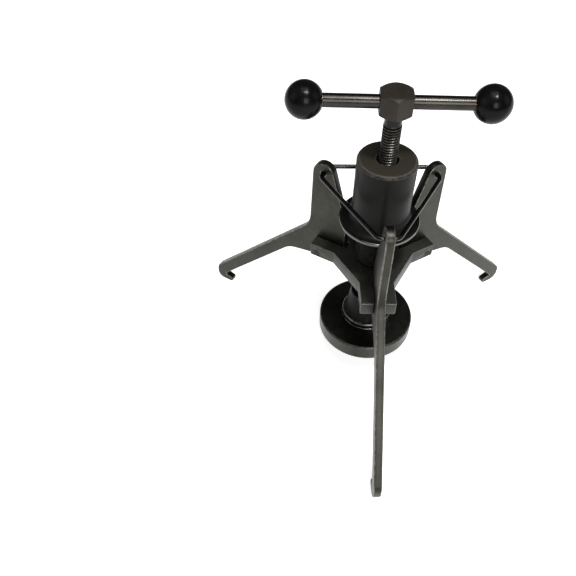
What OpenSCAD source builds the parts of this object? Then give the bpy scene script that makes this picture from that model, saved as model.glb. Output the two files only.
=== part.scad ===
// Three-leg screw press: a hand screw pushes a round pad down while three
// hooked levers, pivoted in a star plate, hold the work from outside.
// Frame: +Z up along the screw, origin at the centre of the pad's lower face,
// the front lever points along -Y.

/* [Screw and handle] */
// Outside diameter of the screw's thread
screw_d = 16; // [14:0.5:17]
// Rise of the screw for one turn
screw_pitch = 2.7; // [2.4:0.1:3]
// Width of the hexagon head across its flats
hex_af = 27; // [24:0.5:28]
// Height of the middle of the T-bar above the pad's face
bar_z = 283.2; // [282:0.1:284]
// Diameter of the T-bar
bar_d = 11.6; // [10:0.2:12]
// Distance between the centres of the two ball knobs
knob_spacing = 149; // [120:1:180]
// Diameter of a ball knob
knob_d = 32; // [28:1:36]
// How far the T-bar stands off centre
bar_offset = 1.7; // [-20:0.1:20]
// How far the screw stands turned about its axis, in degrees
bar_turn = -1.8; // [-30:0.1:30]

/* [Collar and sleeve] */
// Outside diameter of the collar's barrel
collar_d = 53.8; // [50:0.2:54]
// Height of the collar's top face
collar_top_z = 226.8; // [222:0.2:230]
// Outside diameter of the flange with its rim ring
flange_d = 75.8; // [74:0.2:76.4]
// Height of the flange's upper rim
flange_z = 159; // [158:0.1:160]
// Outside diameter of the sleeve's thread
sleeve_d = 38; // [36:0.5:40]
// Rise of the collar for one turn
collar_pitch = 2; // [1.5:0.1:2]

/* [Star plate and pins] */
// Height of the star plate's upper face
plate_top_z = 106; // [105:0.2:107]
// Thickness of the star plate
plate_t = 14.5; // [13:0.5:15]
// Width of one arm
arm_w = 33.6; // [30:0.2:36]
// Distance from the axis to the end of an arm
arm_reach = 63; // [62:0.5:66]
// Distance from the axis to a pivot pin
pin_r = 55.5; // [55:0.1:56]
// Height of the pivot pins
pin_z = 97; // [96.6:0.1:98]
// Diameter of a pivot pin
pin_d = 8; // [6:0.5:8]

/* [Levers] */
// Thickness of a lever plate
lever_t = 8; // [7:0.5:8]
// Distance from the axis to the back of the hook
hook_back_r = 193.3; // [190:0.1:195]
// Radius of the lever's rounded top
lever_top_r = 11; // [10.6:0.1:11.2]
// Turn of each lever about its pin, outwards at the hook, in degrees
lever_set = 1.1; // [0.8:0.1:1.4]
// Diameter of the spring wire
wire_d = 4.2; // [3.6:0.1:4.4]

/* [Pad] */
// Diameter of the press pad
pad_d = 100; // [90:1:110]
// Thickness of the press pad
pad_t = 17.5; // [16:0.5:18]

/* [Hidden] */
$fn = 96;

FRONT = -90;
LEFT = 150;
RIGHT = 30;
BLACK = [0.13, 0.13, 0.12];
DARK = [0.2, 0.2, 0.19];
BURNISHED = [0.38, 0.38, 0.37];
BRIGHT = [0.78, 0.78, 0.76];

fit_gap = 0.05;      // radial clearance of a running fit
side_gap = 0.3;      // space beside a lever in its fork
plate_low_z = plate_top_z - plate_t;

// Bearing stack, from the floor of the pad's recess upwards
recess_z = 3.5;
race_t = 1.5;
ball_d = 3;
race_in_r = 8.6;
race_out_r = 17.6;
ball_ring_r = (race_in_r + race_out_r) / 2;
foot_z = recess_z + 2 * race_t + ball_d;
foot_t = 3.6;
foot_r = 18.5;
recess_r = 19.2;

// Rings and nose above the pad
ring_r = 26.3;
ring_top_z = pad_t + 3.3;
dust_z = ring_top_z + 0.8;
dust_top_z = dust_z + 5.4;
neck_r = 14;
nose_low_r = 24;
nose_top_r = 18.6;
nose_top_z = 56;
tail_r = 8;
spigot_r = 6;
spigot_z = 30;
grub_r = 2.5;
grub_z = 47;

// Screw and head
screw_r = screw_d / 2;
thread_depth = 1.35;
hex_low_z = bar_z - 10.4;
hex_top_z = bar_z + 10;
neck_low_z = 263.5;
neck_d_loss = 1.2;
hex_corner_r = hex_af / 2 / cos(30);

// T-bar
bar_r = bar_d / 2;
knob_r = knob_d / 2;
knob_flat = knob_r - 1.6;
stub_r = 4;
insert_r = 5.6;
insert_l = 17;
bar_end = knob_spacing / 2 - knob_flat;

// Sleeve and collar
sleeve_r = sleeve_d / 2;
sleeve_top_z = 194;
tail_thread_r = 15;
nut_t = 8;
nut_r = 22;
collar_r = collar_d / 2;
collar_low_z = 140;
collar_roof_z = 214;
collar_hole_r = 9.8;
skirt_r = 22.5;
bell_r = 8.6;
rim_r = flange_d / 2;
rim_in_r = rim_r - 2.1;

// Levers: an outline in the plane of the plate, x away from the axis, y up
outer_x = 72;
inner_x = 31.5;
top_y = 188;
inner_slope = 18;  // lean of the inner edge, in degrees
leg_slope = 47.25;   // fall of the leg below the horizontal, in degrees
leg_w = 14.1;
shoulder_y = 119.5;
hook_low_y = -30;
toe_x = 173;
toe_t = 5.5;
boss_r = 14.5;
web_slope = 10.8;    // fall of the web's lower edge towards the hook, in degrees
wire_r = wire_d / 2;
hole_r = wire_r + 0.35;
wire_bend_r = 7;

// Corners of the lever's outline, walked from the top down the outer side
top_centre = [outer_x - lever_top_r, top_y];
inner_dir = 90 - inner_slope;
inner_at = top_centre - lever_top_r * [cos(inner_slope), -sin(inner_slope)];
apex = crossing([outer_x, 0], 90, inner_at, inner_dir);
shoulder = [outer_x, shoulder_y];
leg_under = shoulder - leg_w * [sin(leg_slope), cos(leg_slope)];
hook_top = crossing(shoulder, -leg_slope, [hook_back_r, 0], 90);
mouth = crossing(leg_under, -leg_slope, [toe_x, hook_low_y + toe_t], 18);
web_at = [69.8, 78.8];
web_end = crossing(leg_under, -leg_slope, web_at, -web_slope);
belly = crossing([inner_x, 0], 90, inner_at, inner_dir);
heel = [inner_x, 93];
boss_low = crossing(web_at, -web_slope, [pin_r - 6, 0], 90);

// The spring wire's level, and how far out it crosses the lever tops
wire_level = pin_z + (top_y - pin_z) * cos(lever_set) + (top_centre.x - pin_r) * sin(lever_set);
wire_reach = pin_r + (top_centre.x - pin_r) * cos(lever_set) - (top_y - pin_z) * sin(lever_set);

// Points of an outline whose corners [x, y, radius] are rounded by arcs
function unit(v) = v / norm(v);
function corner_arc(a, b, c, r, n = 10) =
    let (u = unit(a - b), v = unit(c - b), half = acos(u * v) / 2,
         centre = b + unit(u + v) * r / sin(half),
         p = b + u * r / tan(half) - centre,
         q = b + v * r / tan(half) - centre,
         start = atan2(p.y, p.x),
         sweep = sign(p.x * q.y - p.y * q.x) * (180 - 2 * half))
    [for (i = [0:n]) centre + r * [cos(start + sweep * i / n), sin(start + sweep * i / n)]];
function point(c) = [c[0], c[1]];
function rounded(corners) =
    let (n = len(corners))
    [for (i = [0:n - 1])
        let (b = corners[i], a = corners[(i + n - 1) % n], c = corners[(i + 1) % n])
        each (b[2] > 0 ? corner_arc(point(a), point(b), point(c), b[2]) : [point(b)])];

// Where the line through a at angle ta crosses the line through b at angle tb
function crossing(a, ta, b, tb) =
    let (d = b - a, u = [cos(ta), sin(ta)], v = [cos(tb), sin(tb)])
    a + u * (d.x * v.y - d.y * v.x) / (u.x * v.y - u.y * v.x);

// Outline of a screw thread drawn as grooves, from z0 up to z1
function grooves(r, depth, pitch, z0, z1) =
    let (n = floor((z1 - z0) / pitch))
    [for (i = [0:n - 1]) each [
        [r, z0 + i * pitch],
        [r, z0 + (i + 0.22) * pitch],
        [r - depth, z0 + (i + 0.56) * pitch],
        [r - depth, z0 + (i + 0.66) * pitch]]];

module press_pad() {
    edge = 2.2;
    color(DARK)
    rotate_extrude()
    polygon(rounded([
        [0, 0, 0], [pad_d / 2, 0, 1.2], [pad_d / 2, pad_t, edge],
        [recess_r, pad_t, 0.3], [recess_r, recess_z, 0], [0, recess_z, 0]]));
}

module race(z) {
    color(BRIGHT)
    translate([0, 0, z])
    rotate_extrude()
    polygon(rounded([
        [race_in_r, 0, 0.3], [race_out_r, 0, 0.3],
        [race_out_r, race_t, 0.3], [race_in_r, race_t, 0.3]]));
}

module lower_race() { race(recess_z); }

module upper_race() { race(recess_z + race_t + ball_d); }

module bearing_balls() {
    count = 18;
    color(BRIGHT)
    for (i = [0:count - 1])
        rotate([0, 0, i * 360 / count])
            translate([ball_ring_r, 0, recess_z + race_t + ball_d / 2])
                sphere(r = ball_d / 2 - 0.02, $fn = 32);
}

module ball_cage() {
    count = 18;
    cage_t = 1.4;
    color([0.72, 0.58, 0.3])
    difference() {
        translate([0, 0, recess_z + race_t + (ball_d - cage_t) / 2])
            rotate_extrude()
                translate([ball_ring_r - 2.6, 0])
                    square([5.2, cage_t]);
        for (i = [0:count - 1])
            rotate([0, 0, i * 360 / count])
                translate([ball_ring_r, 0, recess_z + race_t])
                    cylinder(r = ball_d / 2 + fit_gap, h = ball_d, $fn = 32);
    }
}

module foot_disc() {
    color(DARK)
    rotate_extrude()
    polygon(rounded([
        [tail_r, foot_z, 0.2], [foot_r, foot_z, 0.6],
        [foot_r, foot_z + foot_t, 0.6], [tail_r, foot_z + foot_t, 0.2]]));
}

// Polished ring on the pad that keeps the foot in its recess
module retaining_ring() {
    color(BRIGHT)
    rotate_extrude()
    polygon(rounded([
        [neck_r + 0.6, foot_z + foot_t + 0.4, 0.2], [recess_r, foot_z + foot_t + 0.4, 0],
        [recess_r, pad_t, 0], [ring_r, pad_t, 0.3],
        [ring_r, ring_top_z, 0.8], [neck_r + 0.6, ring_top_z, 0.3]]));
}

// Polished ring pressed on the nose just above the retaining ring
module dust_ring() {
    color(BRIGHT)
    rotate_extrude()
    polygon(rounded([
        [neck_r, dust_z, 0.2], [ring_r - 0.4, dust_z, 0.5],
        [ring_r - 0.4, dust_top_z, 2], [neck_r, dust_top_z, 0]]));
}

module screw_nose() {
    color(BLACK)
    difference() {
        rotate_extrude()
        polygon(rounded([
            [0, foot_z + 0.2, 0], [tail_r, foot_z + 0.2, 0.3],
            [tail_r, foot_z + foot_t, 0], [neck_r, foot_z + foot_t, 0.2],
            [neck_r, dust_top_z, 0], [nose_low_r, dust_top_z, 0.8],
            [nose_top_r, nose_top_z, 1.5], [spigot_r, nose_top_z, 0.3],
            [spigot_r, spigot_z, 0], [0, spigot_z, 0]]));
        translate([0, 0, grub_z])
            rotate([0, 90, 0])
                cylinder(r = grub_r, h = nose_low_r);
    }
}

module nose_grub_screw() {
    color(BLACK)
    translate([spigot_r, 0, grub_z])
    rotate([0, 90, 0])
    difference() {
        cylinder(r = grub_r, h = 11);
        translate([0, 0, 7.5])
            cylinder(d = 2.9, h = 4, $fn = 6);
    }
}

module hex_head() {
    chamfer = 2.2;
    intersection() {
        translate([0, 0, hex_low_z])
            rotate([0, 0, 30])
                cylinder(r = hex_corner_r, h = hex_top_z - hex_low_z, $fn = 6);
        rotate_extrude()
        polygon(rounded([
            [0, hex_low_z, 0], [hex_af / 2 - 1.5, hex_low_z, 0],
            [hex_corner_r + 0.4, hex_low_z + chamfer, 0],
            [hex_corner_r + 0.4, hex_top_z - chamfer, 0],
            [hex_af / 2 - 1.5, hex_top_z, 0], [0, hex_top_z, 0]]));
    }
}

module spindle() {
    shank_low_z = nose_top_z + 0.1;
    color(DARK)
    rotate([0, 0, bar_turn])
    difference() {
        union() {
            rotate_extrude()
            polygon(concat(
                [[0, spigot_z + 0.2], [spigot_r - 0.6, spigot_z + 0.2],
                 [spigot_r, spigot_z + 0.8], [spigot_r, shank_low_z]],
                grooves(screw_r, thread_depth, screw_pitch, shank_low_z, neck_low_z),
                [[screw_r, neck_low_z], [screw_r - neck_d_loss / 2, neck_low_z + 0.6],
                 [screw_r - neck_d_loss / 2, hex_low_z + 1], [0, hex_low_z + 1]]));
            hex_head();
        }
        translate([-hex_af, 0, bar_z])
            rotate([0, 90, 0])
                cylinder(r = bar_r + fit_gap, h = 2 * hex_af);
    }
}

// The T-bar's own frame: x along the bar from the middle of the bar
module on_bar() {
    rotate([0, 0, bar_turn])
        translate([bar_offset, 0, bar_z])
            children();
}

module tommy_bar() {
    color(BURNISHED)
    on_bar()
    rotate([0, 90, 0])
    rotate_extrude()
    polygon([
        [0, -bar_end - insert_l + 2], [stub_r - 0.6, -bar_end - insert_l + 2],
        [stub_r, -bar_end - insert_l + 2.6], [stub_r, -bar_end],
        [bar_r - 0.4, -bar_end], [bar_r, -bar_end + 0.4],
        [bar_r, bar_end - 0.4], [bar_r - 0.4, bar_end],
        [stub_r, bar_end], [stub_r, bar_end + insert_l - 2.6],
        [stub_r - 0.6, bar_end + insert_l - 2], [0, bar_end + insert_l - 2]]);
}

// side is -1 for the left end of the bar and 1 for the right end
module knob_insert(side) {
    color([0.75, 0.6, 0.3])
    on_bar()
    translate([side * bar_end, 0, 0])
    rotate([0, 90 * side, 0])
    rotate_extrude()
    polygon([
        [stub_r, 0], [insert_r - 0.3, 0], [insert_r, 0.3],
        [insert_r, insert_l], [0, insert_l], [0, insert_l - 1.5], [stub_r, insert_l - 1.5]]);
}

module ball_knob(side) {
    color([0.04, 0.04, 0.04])
    on_bar()
    translate([side * knob_spacing / 2, 0, 0])
    rotate([0, 90 * side, 0])
    difference() {
        sphere(r = knob_r);
        translate([0, 0, -knob_d - knob_flat])
            cylinder(r = knob_r, h = knob_d);
        translate([0, 0, -knob_flat - 1])
            cylinder(r = insert_r, h = insert_l + 1);
    }
}

module knob_insert_left() { knob_insert(-1); }

module knob_insert_right() { knob_insert(1); }

module ball_knob_left() { ball_knob(-1); }

module ball_knob_right() { ball_knob(1); }

// Sleeve: fixed in the star plate, threaded outside for the collar
module sleeve() {
    shoulder = 1;
    color(BLACK)
    difference() {
        rotate_extrude()
        polygon(concat(
            [[screw_r + fit_gap, plate_low_z - nut_t - 1], [tail_thread_r - 1, plate_low_z - nut_t - 1],
             [tail_thread_r, plate_low_z - nut_t], [tail_thread_r, plate_top_z],
             [sleeve_r - shoulder, plate_top_z], [sleeve_r - shoulder, plate_top_z + 3]],
            grooves(sleeve_r, 1, collar_pitch, plate_top_z + 4, sleeve_top_z - 2),
            [[sleeve_r - 1.5, sleeve_top_z], [screw_r + fit_gap + 1, sleeve_top_z],
             [screw_r + fit_gap, sleeve_top_z - 1]]));
        translate([0, 0, plate_low_z - nut_t / 2])
            rotate([0, 90, -150])
                translate([0, 0, tail_thread_r - 1])
                    cylinder(r = 2, h = 3);
    }
}

module sleeve_lock_nut() {
    color(BLACK)
    difference() {
        rotate_extrude()
        polygon(rounded([
            [tail_thread_r, plate_low_z - nut_t, 0.5], [nut_r, plate_low_z - nut_t, 1.2],
            [nut_r, plate_low_z, 0.6], [tail_thread_r, plate_low_z, 0]]));
        for (turn = [0:60:300])
            rotate([0, 0, turn])
                translate([nut_r, 0, plate_low_z - nut_t - 1])
                    cylinder(r = 2.2, h = nut_t + 0.4);
        translate([0, 0, plate_low_z - nut_t / 2])
            rotate([0, 90, -150])
                cylinder(r = 2, h = nut_r + 2);
    }
}

module lock_nut_screw() {
    color(BURNISHED)
    rotate([0, 0, -150])
    translate([tail_thread_r - 1, 0, plate_low_z - nut_t / 2])
    rotate([0, 90, 0])
    difference() {
        cylinder(r = 2, h = 7.4);
        translate([0, 0, 5])
            cylinder(d = 2.3, h = 3, $fn = 6);
    }
}

// Collar: a barrel whose lower end flares out into a thin flange
module collar() {
    bell_z = flange_z + 0.9 + bell_r;
    flange_low_z = flange_z - 3.6;
    color(BLACK)
    rotate_extrude()
    polygon(concat(
        rounded([
            [sleeve_r + fit_gap, collar_low_z, 0.5], [skirt_r, collar_low_z, 1],
            [skirt_r, flange_low_z - 4, 2], [rim_in_r - 0.5, flange_low_z, 0.4]]),
        [[rim_in_r - fit_gap, flange_low_z + 0.6], [rim_in_r - fit_gap, flange_z - 2.4],
         [rim_in_r - 1.3, flange_z - 2.4], [rim_in_r - 1.3, flange_z - 1.2],
         [rim_in_r - fit_gap, flange_z - 1.2], [rim_in_r - fit_gap, flange_z]],
        [for (a = [270:-5:180])
            [collar_r + bell_r + bell_r * cos(a), bell_z + bell_r * sin(a)]],
        rounded_top()));
}

function rounded_top() = rounded([
    [collar_r, collar_top_z - 12, 0], [collar_r, collar_top_z, 1.6],
    [collar_hole_r, collar_top_z, 0.8], [collar_hole_r, collar_roof_z, 0.3],
    [sleeve_r + fit_gap, collar_roof_z, 0.5], [sleeve_r + fit_gap, collar_low_z + 2, 0]]);

// Wear ring around the flange: it does not turn, and the levers lean on it
module rim_ring() {
    color(BRIGHT)
    rotate_extrude()
    polygon(rounded([
        [rim_in_r, flange_z - 3.2, 0.1], [rim_r, flange_z - 3.2, 0.9],
        [rim_r, flange_z + 0.1, 1.1], [rim_in_r, flange_z + 0.1, 0.2],
        [rim_in_r, flange_z - 1.25, 0], [rim_in_r - 1.1, flange_z - 1.25, 0],
        [rim_in_r - 1.1, flange_z - 2.35, 0], [rim_in_r, flange_z - 2.35, 0]]));
}

// Star plate: arms joined by straight flanks, each arm forked for its lever
module spider() {
    flank = 32.5;
    slot_r = 28.5;
    flank_r = (flank - arm_w / 2 * cos(30)) / sin(30);
    color(BLACK)
    difference() {
        translate([0, 0, plate_low_z])
            linear_extrude(plate_t)
                polygon(rounded([
                    for (turn = [FRONT, RIGHT, LEFT])
                        for (p = [[flank_r, -1, 3], [arm_reach, -1, 1.5],
                                  [arm_reach, 1, 1.5], [flank_r, 1, 3]])
                            [p[0] * cos(turn) - p[1] * arm_w / 2 * sin(turn),
                             p[0] * sin(turn) + p[1] * arm_w / 2 * cos(turn), p[2]]]));
        translate([0, 0, plate_low_z - 1])
            cylinder(r = tail_thread_r, h = plate_t + 2);
        for (turn = [FRONT, RIGHT, LEFT])
            rotate([0, 0, turn]) {
                translate([slot_r, -lever_t / 2 - side_gap, plate_low_z - 1])
                    cube([arm_reach, lever_t + 2 * side_gap, plate_t + 2]);
                translate([pin_r, arm_w, pin_z])
                    rotate([90, 0, 0])
                        cylinder(d = pin_d, h = 2 * arm_w);
            }
    }
}

module pivot_pin(turn) {
    pin_l = arm_w - 0.4;
    color(BURNISHED)
    rotate([0, 0, turn])
    translate([pin_r, pin_l / 2, pin_z])
    rotate([90, 0, 0])
    rotate_extrude()
    polygon([
        [0, 0.6], [1.2, 0.6], [1.8, 0], [pin_d / 2 - 0.5, 0], [pin_d / 2, 0.5],
        [pin_d / 2, pin_l - 0.5], [pin_d / 2 - 0.5, pin_l], [1.8, pin_l],
        [1.2, pin_l - 0.6], [0, pin_l - 0.6]]);
}

module pivot_pin_front() { pivot_pin(FRONT); }

module pivot_pin_left() { pivot_pin(LEFT); }

module pivot_pin_right() { pivot_pin(RIGHT); }

function lever_outline() = rounded([
    [apex.x, apex.y, lever_top_r],
    [shoulder.x, shoulder.y, 30],
    [hook_top.x, hook_top.y, 12],
    [hook_back_r, hook_low_y, 9.5],
    [toe_x, hook_low_y, 2],
    [toe_x, hook_low_y + toe_t, 1.4],
    [mouth.x, mouth.y, 2],
    [web_end.x, web_end.y, 24],
    [boss_low.x, boss_low.y, boss_r],
    [heel.x, heel.y, 6],
    [belly.x, belly.y, 12]]);

// Puts a shape drawn in the lever's plane into place for the lever at turn
module in_lever(turn) {
    rotate([0, 0, turn])
        rotate([90, 0, 0])
            translate([pin_r, pin_z, 0])
                rotate([0, 0, lever_set])
                    translate([-pin_r, -pin_z, 0])
                        children();
}

module lever(turn) {
    color(DARK)
    in_lever(turn)
    difference() {
        translate([0, 0, -lever_t / 2])
            linear_extrude(lever_t)
                polygon(lever_outline());
        translate([pin_r, pin_z, -lever_t])
            cylinder(r = pin_d / 2 + fit_gap, h = 2 * lever_t);
        translate([top_centre.x, top_centre.y, -lever_t])
            cylinder(r = hole_r, h = 2 * lever_t);
    }
}

module lever_front() { lever(FRONT); }

module lever_left() { lever(LEFT); }

module lever_right() { lever(RIGHT); }

// Spring wire: a ring in the shape of a rounded triangle, threaded through the holes in the three
// lever tops, as one closed loop. Each route entry is a point of its centreline, with the direction
// square to the wire in the third place. A corner is two bends with a short straight between
// them that crosses the lever.
module spring_wire() {
    bend_steps = 5;
    bend_turn = 60;
    wire_sides = 16;
    stub = lever_t / 2 + 1;
    route = [
        for (turn = [FRONT, RIGHT, LEFT], side = [-1, 1], step = [0:bend_steps])
            let (
                bend = bend_turn * (side < 0 ? step / bend_steps - 1 : step / bend_steps),
                out = wire_reach - wire_bend_r + wire_bend_r * cos(bend),
                along = side * stub + wire_bend_r * sin(bend)
            )
            [
                out * cos(turn) - along * sin(turn),
                out * sin(turn) + along * cos(turn),
                turn + bend
            ]
    ];
    rings = len(route);
    color(BRIGHT)
    polyhedron(
        points = [
            for (spot = route, k = [0:wire_sides - 1])
                let (out = wire_r * cos(360 * k / wire_sides), up = wire_r * sin(360 * k / wire_sides))
                [spot[0] + out * cos(spot[2]), spot[1] + out * sin(spot[2]), wire_level + up]
        ],
        faces = [
            for (i = [0:rings - 1], k = [0:wire_sides - 1])
                let (next_i = (i + 1) % rings, next_k = (k + 1) % wire_sides)
                [
                    i * wire_sides + k,
                    i * wire_sides + next_k,
                    next_i * wire_sides + next_k,
                    next_i * wire_sides + k
                ]
        ]
    );
}

press_pad();
lower_race();
bearing_balls();
ball_cage();
upper_race();
foot_disc();
retaining_ring();
dust_ring();
screw_nose();
nose_grub_screw();
spindle();
tommy_bar();
knob_insert_left();
knob_insert_right();
ball_knob_left();
ball_knob_right();
sleeve();
sleeve_lock_nut();
lock_nut_screw();
collar();
rim_ring();
spider();
pivot_pin_front();
pivot_pin_left();
pivot_pin_right();
lever_front();
lever_left();
lever_right();
spring_wire();
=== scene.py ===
"""Three-leg screw press: the looks of every piece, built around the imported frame.

Laid out as an add-on and run as a script. Sizes in the outlines are millimetres; meshes are metres.
The frame has +Z up along the screw, its origin at the middle of the pad's lower face, and the
front lever along -Y.
"""

import math

import bmesh
import bpy
from bpy.props import FloatProperty, FloatVectorProperty, IntProperty, PointerProperty
from bpy.types import Operator, Panel, PropertyGroup
from mathutils import Matrix, Vector


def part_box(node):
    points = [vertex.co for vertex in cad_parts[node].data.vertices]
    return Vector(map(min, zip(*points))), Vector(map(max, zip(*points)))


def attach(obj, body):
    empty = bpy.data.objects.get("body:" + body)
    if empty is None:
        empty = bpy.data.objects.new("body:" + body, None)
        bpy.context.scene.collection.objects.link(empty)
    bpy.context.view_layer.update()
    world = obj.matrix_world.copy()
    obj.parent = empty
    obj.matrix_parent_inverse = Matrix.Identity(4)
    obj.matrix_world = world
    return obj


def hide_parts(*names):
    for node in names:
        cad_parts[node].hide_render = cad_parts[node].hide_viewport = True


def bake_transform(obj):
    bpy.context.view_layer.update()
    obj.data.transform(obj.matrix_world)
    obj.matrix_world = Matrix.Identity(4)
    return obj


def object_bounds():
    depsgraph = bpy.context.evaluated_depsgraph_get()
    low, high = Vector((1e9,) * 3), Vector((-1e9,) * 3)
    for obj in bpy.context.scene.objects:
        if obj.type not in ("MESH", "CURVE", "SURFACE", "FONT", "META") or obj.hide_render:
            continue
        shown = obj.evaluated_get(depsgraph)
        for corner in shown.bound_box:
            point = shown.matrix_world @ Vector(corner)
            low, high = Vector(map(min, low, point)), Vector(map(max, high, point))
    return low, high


bl_info = {
    "name": "Three-leg screw press",
    "version": (1, 0, 0),
    "blender": (4, 5, 0),
    "location": "View3D > Sidebar > Press",
    "description": "Builds the pieces of a three-leg screw press around its packed frame",
    "category": "Object",
}

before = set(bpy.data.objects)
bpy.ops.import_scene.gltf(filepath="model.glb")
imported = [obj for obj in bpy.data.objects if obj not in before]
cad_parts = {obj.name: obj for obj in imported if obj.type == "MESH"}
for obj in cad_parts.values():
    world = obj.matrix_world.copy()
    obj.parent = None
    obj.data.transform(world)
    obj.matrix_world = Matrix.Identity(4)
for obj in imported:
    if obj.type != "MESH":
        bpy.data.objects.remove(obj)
CAD_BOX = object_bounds()

MM = 0.001
LEVER_TURNS = {"front": -90, "left": 150, "right": 30}
SHARP_ANGLE = math.radians(32)


# ---------------------------------------------------------------- places read from the frame


def low(node):
    """Lowest height of a CAD node, in millimetres."""
    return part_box(node)[0].z / MM


def high(node):
    """Highest height of a CAD node, in millimetres."""
    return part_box(node)[1].z / MM


def reach(node):
    """Radius of a CAD node that is turned about the screw's axis, in millimetres."""
    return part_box(node)[1].x / MM


def middle(node):
    """Middle of a CAD node's box, in metres."""
    lowest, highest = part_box(node)
    return (lowest + highest) / 2


def bar_matrix():
    """The T-bar's own frame: Z along the bar to the right, its origin midway between the knobs."""
    left, right = middle("ball_knob_left"), middle("ball_knob_right")
    along = (right - left).normalized()
    up = Vector((0, 0, 1))
    across = up.cross(along)
    turn = Matrix((across, up, along)).transposed().to_4x4()
    return Matrix.Translation((left + right) / 2) @ turn


def lever_matrix(turn):
    """The lever's drawing plane put in place: x away from the axis, y up, z through the plate."""
    sizes = bpy.context.scene.press_sizes
    pivot = Matrix.Translation((sizes.pin_reach, sizes.pin_height, 0))
    lean = pivot @ Matrix.Rotation(sizes.lever_lean, 4, "Z") @ pivot.inverted()
    upright = Matrix.Rotation(math.radians(90), 4, "X")
    return Matrix.Rotation(math.radians(turn), 4, "Z") @ upright @ lean


# ---------------------------------------------------------------- sizes and finishes


def length(name, description, millimetres):
    """A size that a user may change, in metres, with its default given in millimetres."""
    return FloatProperty(
        name=name,
        description=description,
        default=millimetres * MM,
        unit="LENGTH",
        subtype="DISTANCE",
        precision=5,
    )


def colour(name, description, value):
    """A colour that a user may change."""
    return FloatVectorProperty(
        name=name,
        description=description,
        default=value,
        size=3,
        min=0.0,
        max=1.0,
        subtype="COLOR",
    )


class PressSizes(PropertyGroup):
    """Sizes of the visible detail that the frame's boxes don't give."""

    screw_pitch: length("Screw pitch", "Rise of the screw for one turn", 2.7)
    collar_pitch: length("Collar pitch", "Rise of the collar for one turn", 2.0)
    thread_depth: length("Thread depth", "Depth of the screw's thread", 1.35)
    hexagon: length("Hexagon", "Width of the screw's head across its flats", 27.0)
    neck_bottom: length("Neck bottom", "Height at which the screw's thread runs out", 263.5)
    pin_reach: length("Pin reach", "Distance from the axis to a pivot pin", 55.5)
    pin_height: length("Pin height", "Height of the pivot pins", 97.0)
    pin_width: length("Pin width", "Diameter of a pivot pin", 8.0)
    arm_width: length("Arm width", "Width of one arm of the star plate", 33.6)
    arm_reach: length("Arm reach", "Distance from the axis to the end of an arm", 63.0)
    lever_thickness: length("Lever thickness", "Thickness of a lever plate", 8.0)
    lever_edge: length("Lever edge", "Width of the rounding along a lever's edges", 1.0)
    plate_edge: length("Plate edge", "Width of the rounding along the star plate's edges", 0.6)
    wire_bend: length("Wire bend", "Radius of the spring wire's bends", 7.0)
    lever_lean: FloatProperty(
        name="Lever lean",
        description="Turn of each lever about its pin at rest",
        default=math.radians(1.1),
        unit="ROTATION",
        subtype="ANGLE",
    )
    facets: IntProperty(
        name="Facets",
        description="Facets around a turned piece",
        default=160,
        min=24,
        max=512,
        subtype="UNSIGNED",
    )


class PressFinishes(PropertyGroup):
    """Colours of the finishes."""

    plate_steel: colour("Plate steel", "Blackened steel of the star plate", (0.024, 0.024, 0.020))
    lever_steel: colour("Lever steel", "Blackened steel of the levers", (0.034, 0.0335, 0.0285))
    collar_steel: colour("Collar steel", "Blackened steel of the collar", (0.0048, 0.0048, 0.0044))
    # Painted light: the collar's top face gets this lighter colour for the light that falls on it
    collar_top_painted_light: colour("Collar crown", "Painted light on the top of the collar", (0.026, 0.0225, 0.0175))
    pad_steel: colour("Pad steel", "Blackened steel of the pad", (0.033, 0.033, 0.029))
    screw_steel: colour("Screw steel", "Oiled steel of the screw", (0.010, 0.0095, 0.0085))
    head_steel: colour("Head steel", "Blackened steel of the hexagon", (0.021, 0.018, 0.0145))
    bar_steel: colour("Bar steel", "Burnished steel of the T-bar", (0.032, 0.030, 0.027))
    ring_steel: colour("Ring steel", "Polished steel of the rings", (0.09, 0.088, 0.084))
    wire_steel: colour("Wire steel", "Drawn steel of the spring wire", (0.030, 0.029, 0.028))
    bare_steel: colour("Bare steel", "Steel that shows where the black has worn", (0.40, 0.38, 0.34))
    brass: colour("Brass", "Turned brass of the cage and inserts", (0.62, 0.45, 0.20))
    knob_black: colour("Knob black", "Glossy black of the ball knobs", (0.0022, 0.0022, 0.0022))
    floor_white: colour("Floor white", "Pale floor", (0.92, 0.92, 0.92))


# ---------------------------------------------------------------- outlines


def direction(degrees):
    """Unit vector at an angle from the x axis."""
    return Vector((math.cos(math.radians(degrees)), math.sin(math.radians(degrees))))


def crossing(a, angle_a, b, angle_b):
    """Where the line through a at angle_a crosses the line through b at angle_b."""
    u, v, gap = direction(angle_a), direction(angle_b), Vector(b) - Vector(a)
    return Vector(a) + u * (gap.cross(v) / u.cross(v))


def corner_arc(before, corner, after, radius, steps):
    """Points of the arc that rounds a corner."""
    to_before = (before - corner).normalized()
    to_after = (after - corner).normalized()
    half = to_before.angle(to_after) / 2
    centre = corner + (to_before + to_after).normalized() * radius / math.sin(half)
    first = corner + to_before * radius / math.tan(half) - centre
    last = corner + to_after * radius / math.tan(half) - centre
    sweep = math.copysign(math.pi - 2 * half, first.cross(last))
    start = math.atan2(first.y, first.x)
    turns = [start + sweep * i / steps for i in range(steps + 1)]
    return [centre + radius * Vector((math.cos(t), math.sin(t))) for t in turns]


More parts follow.
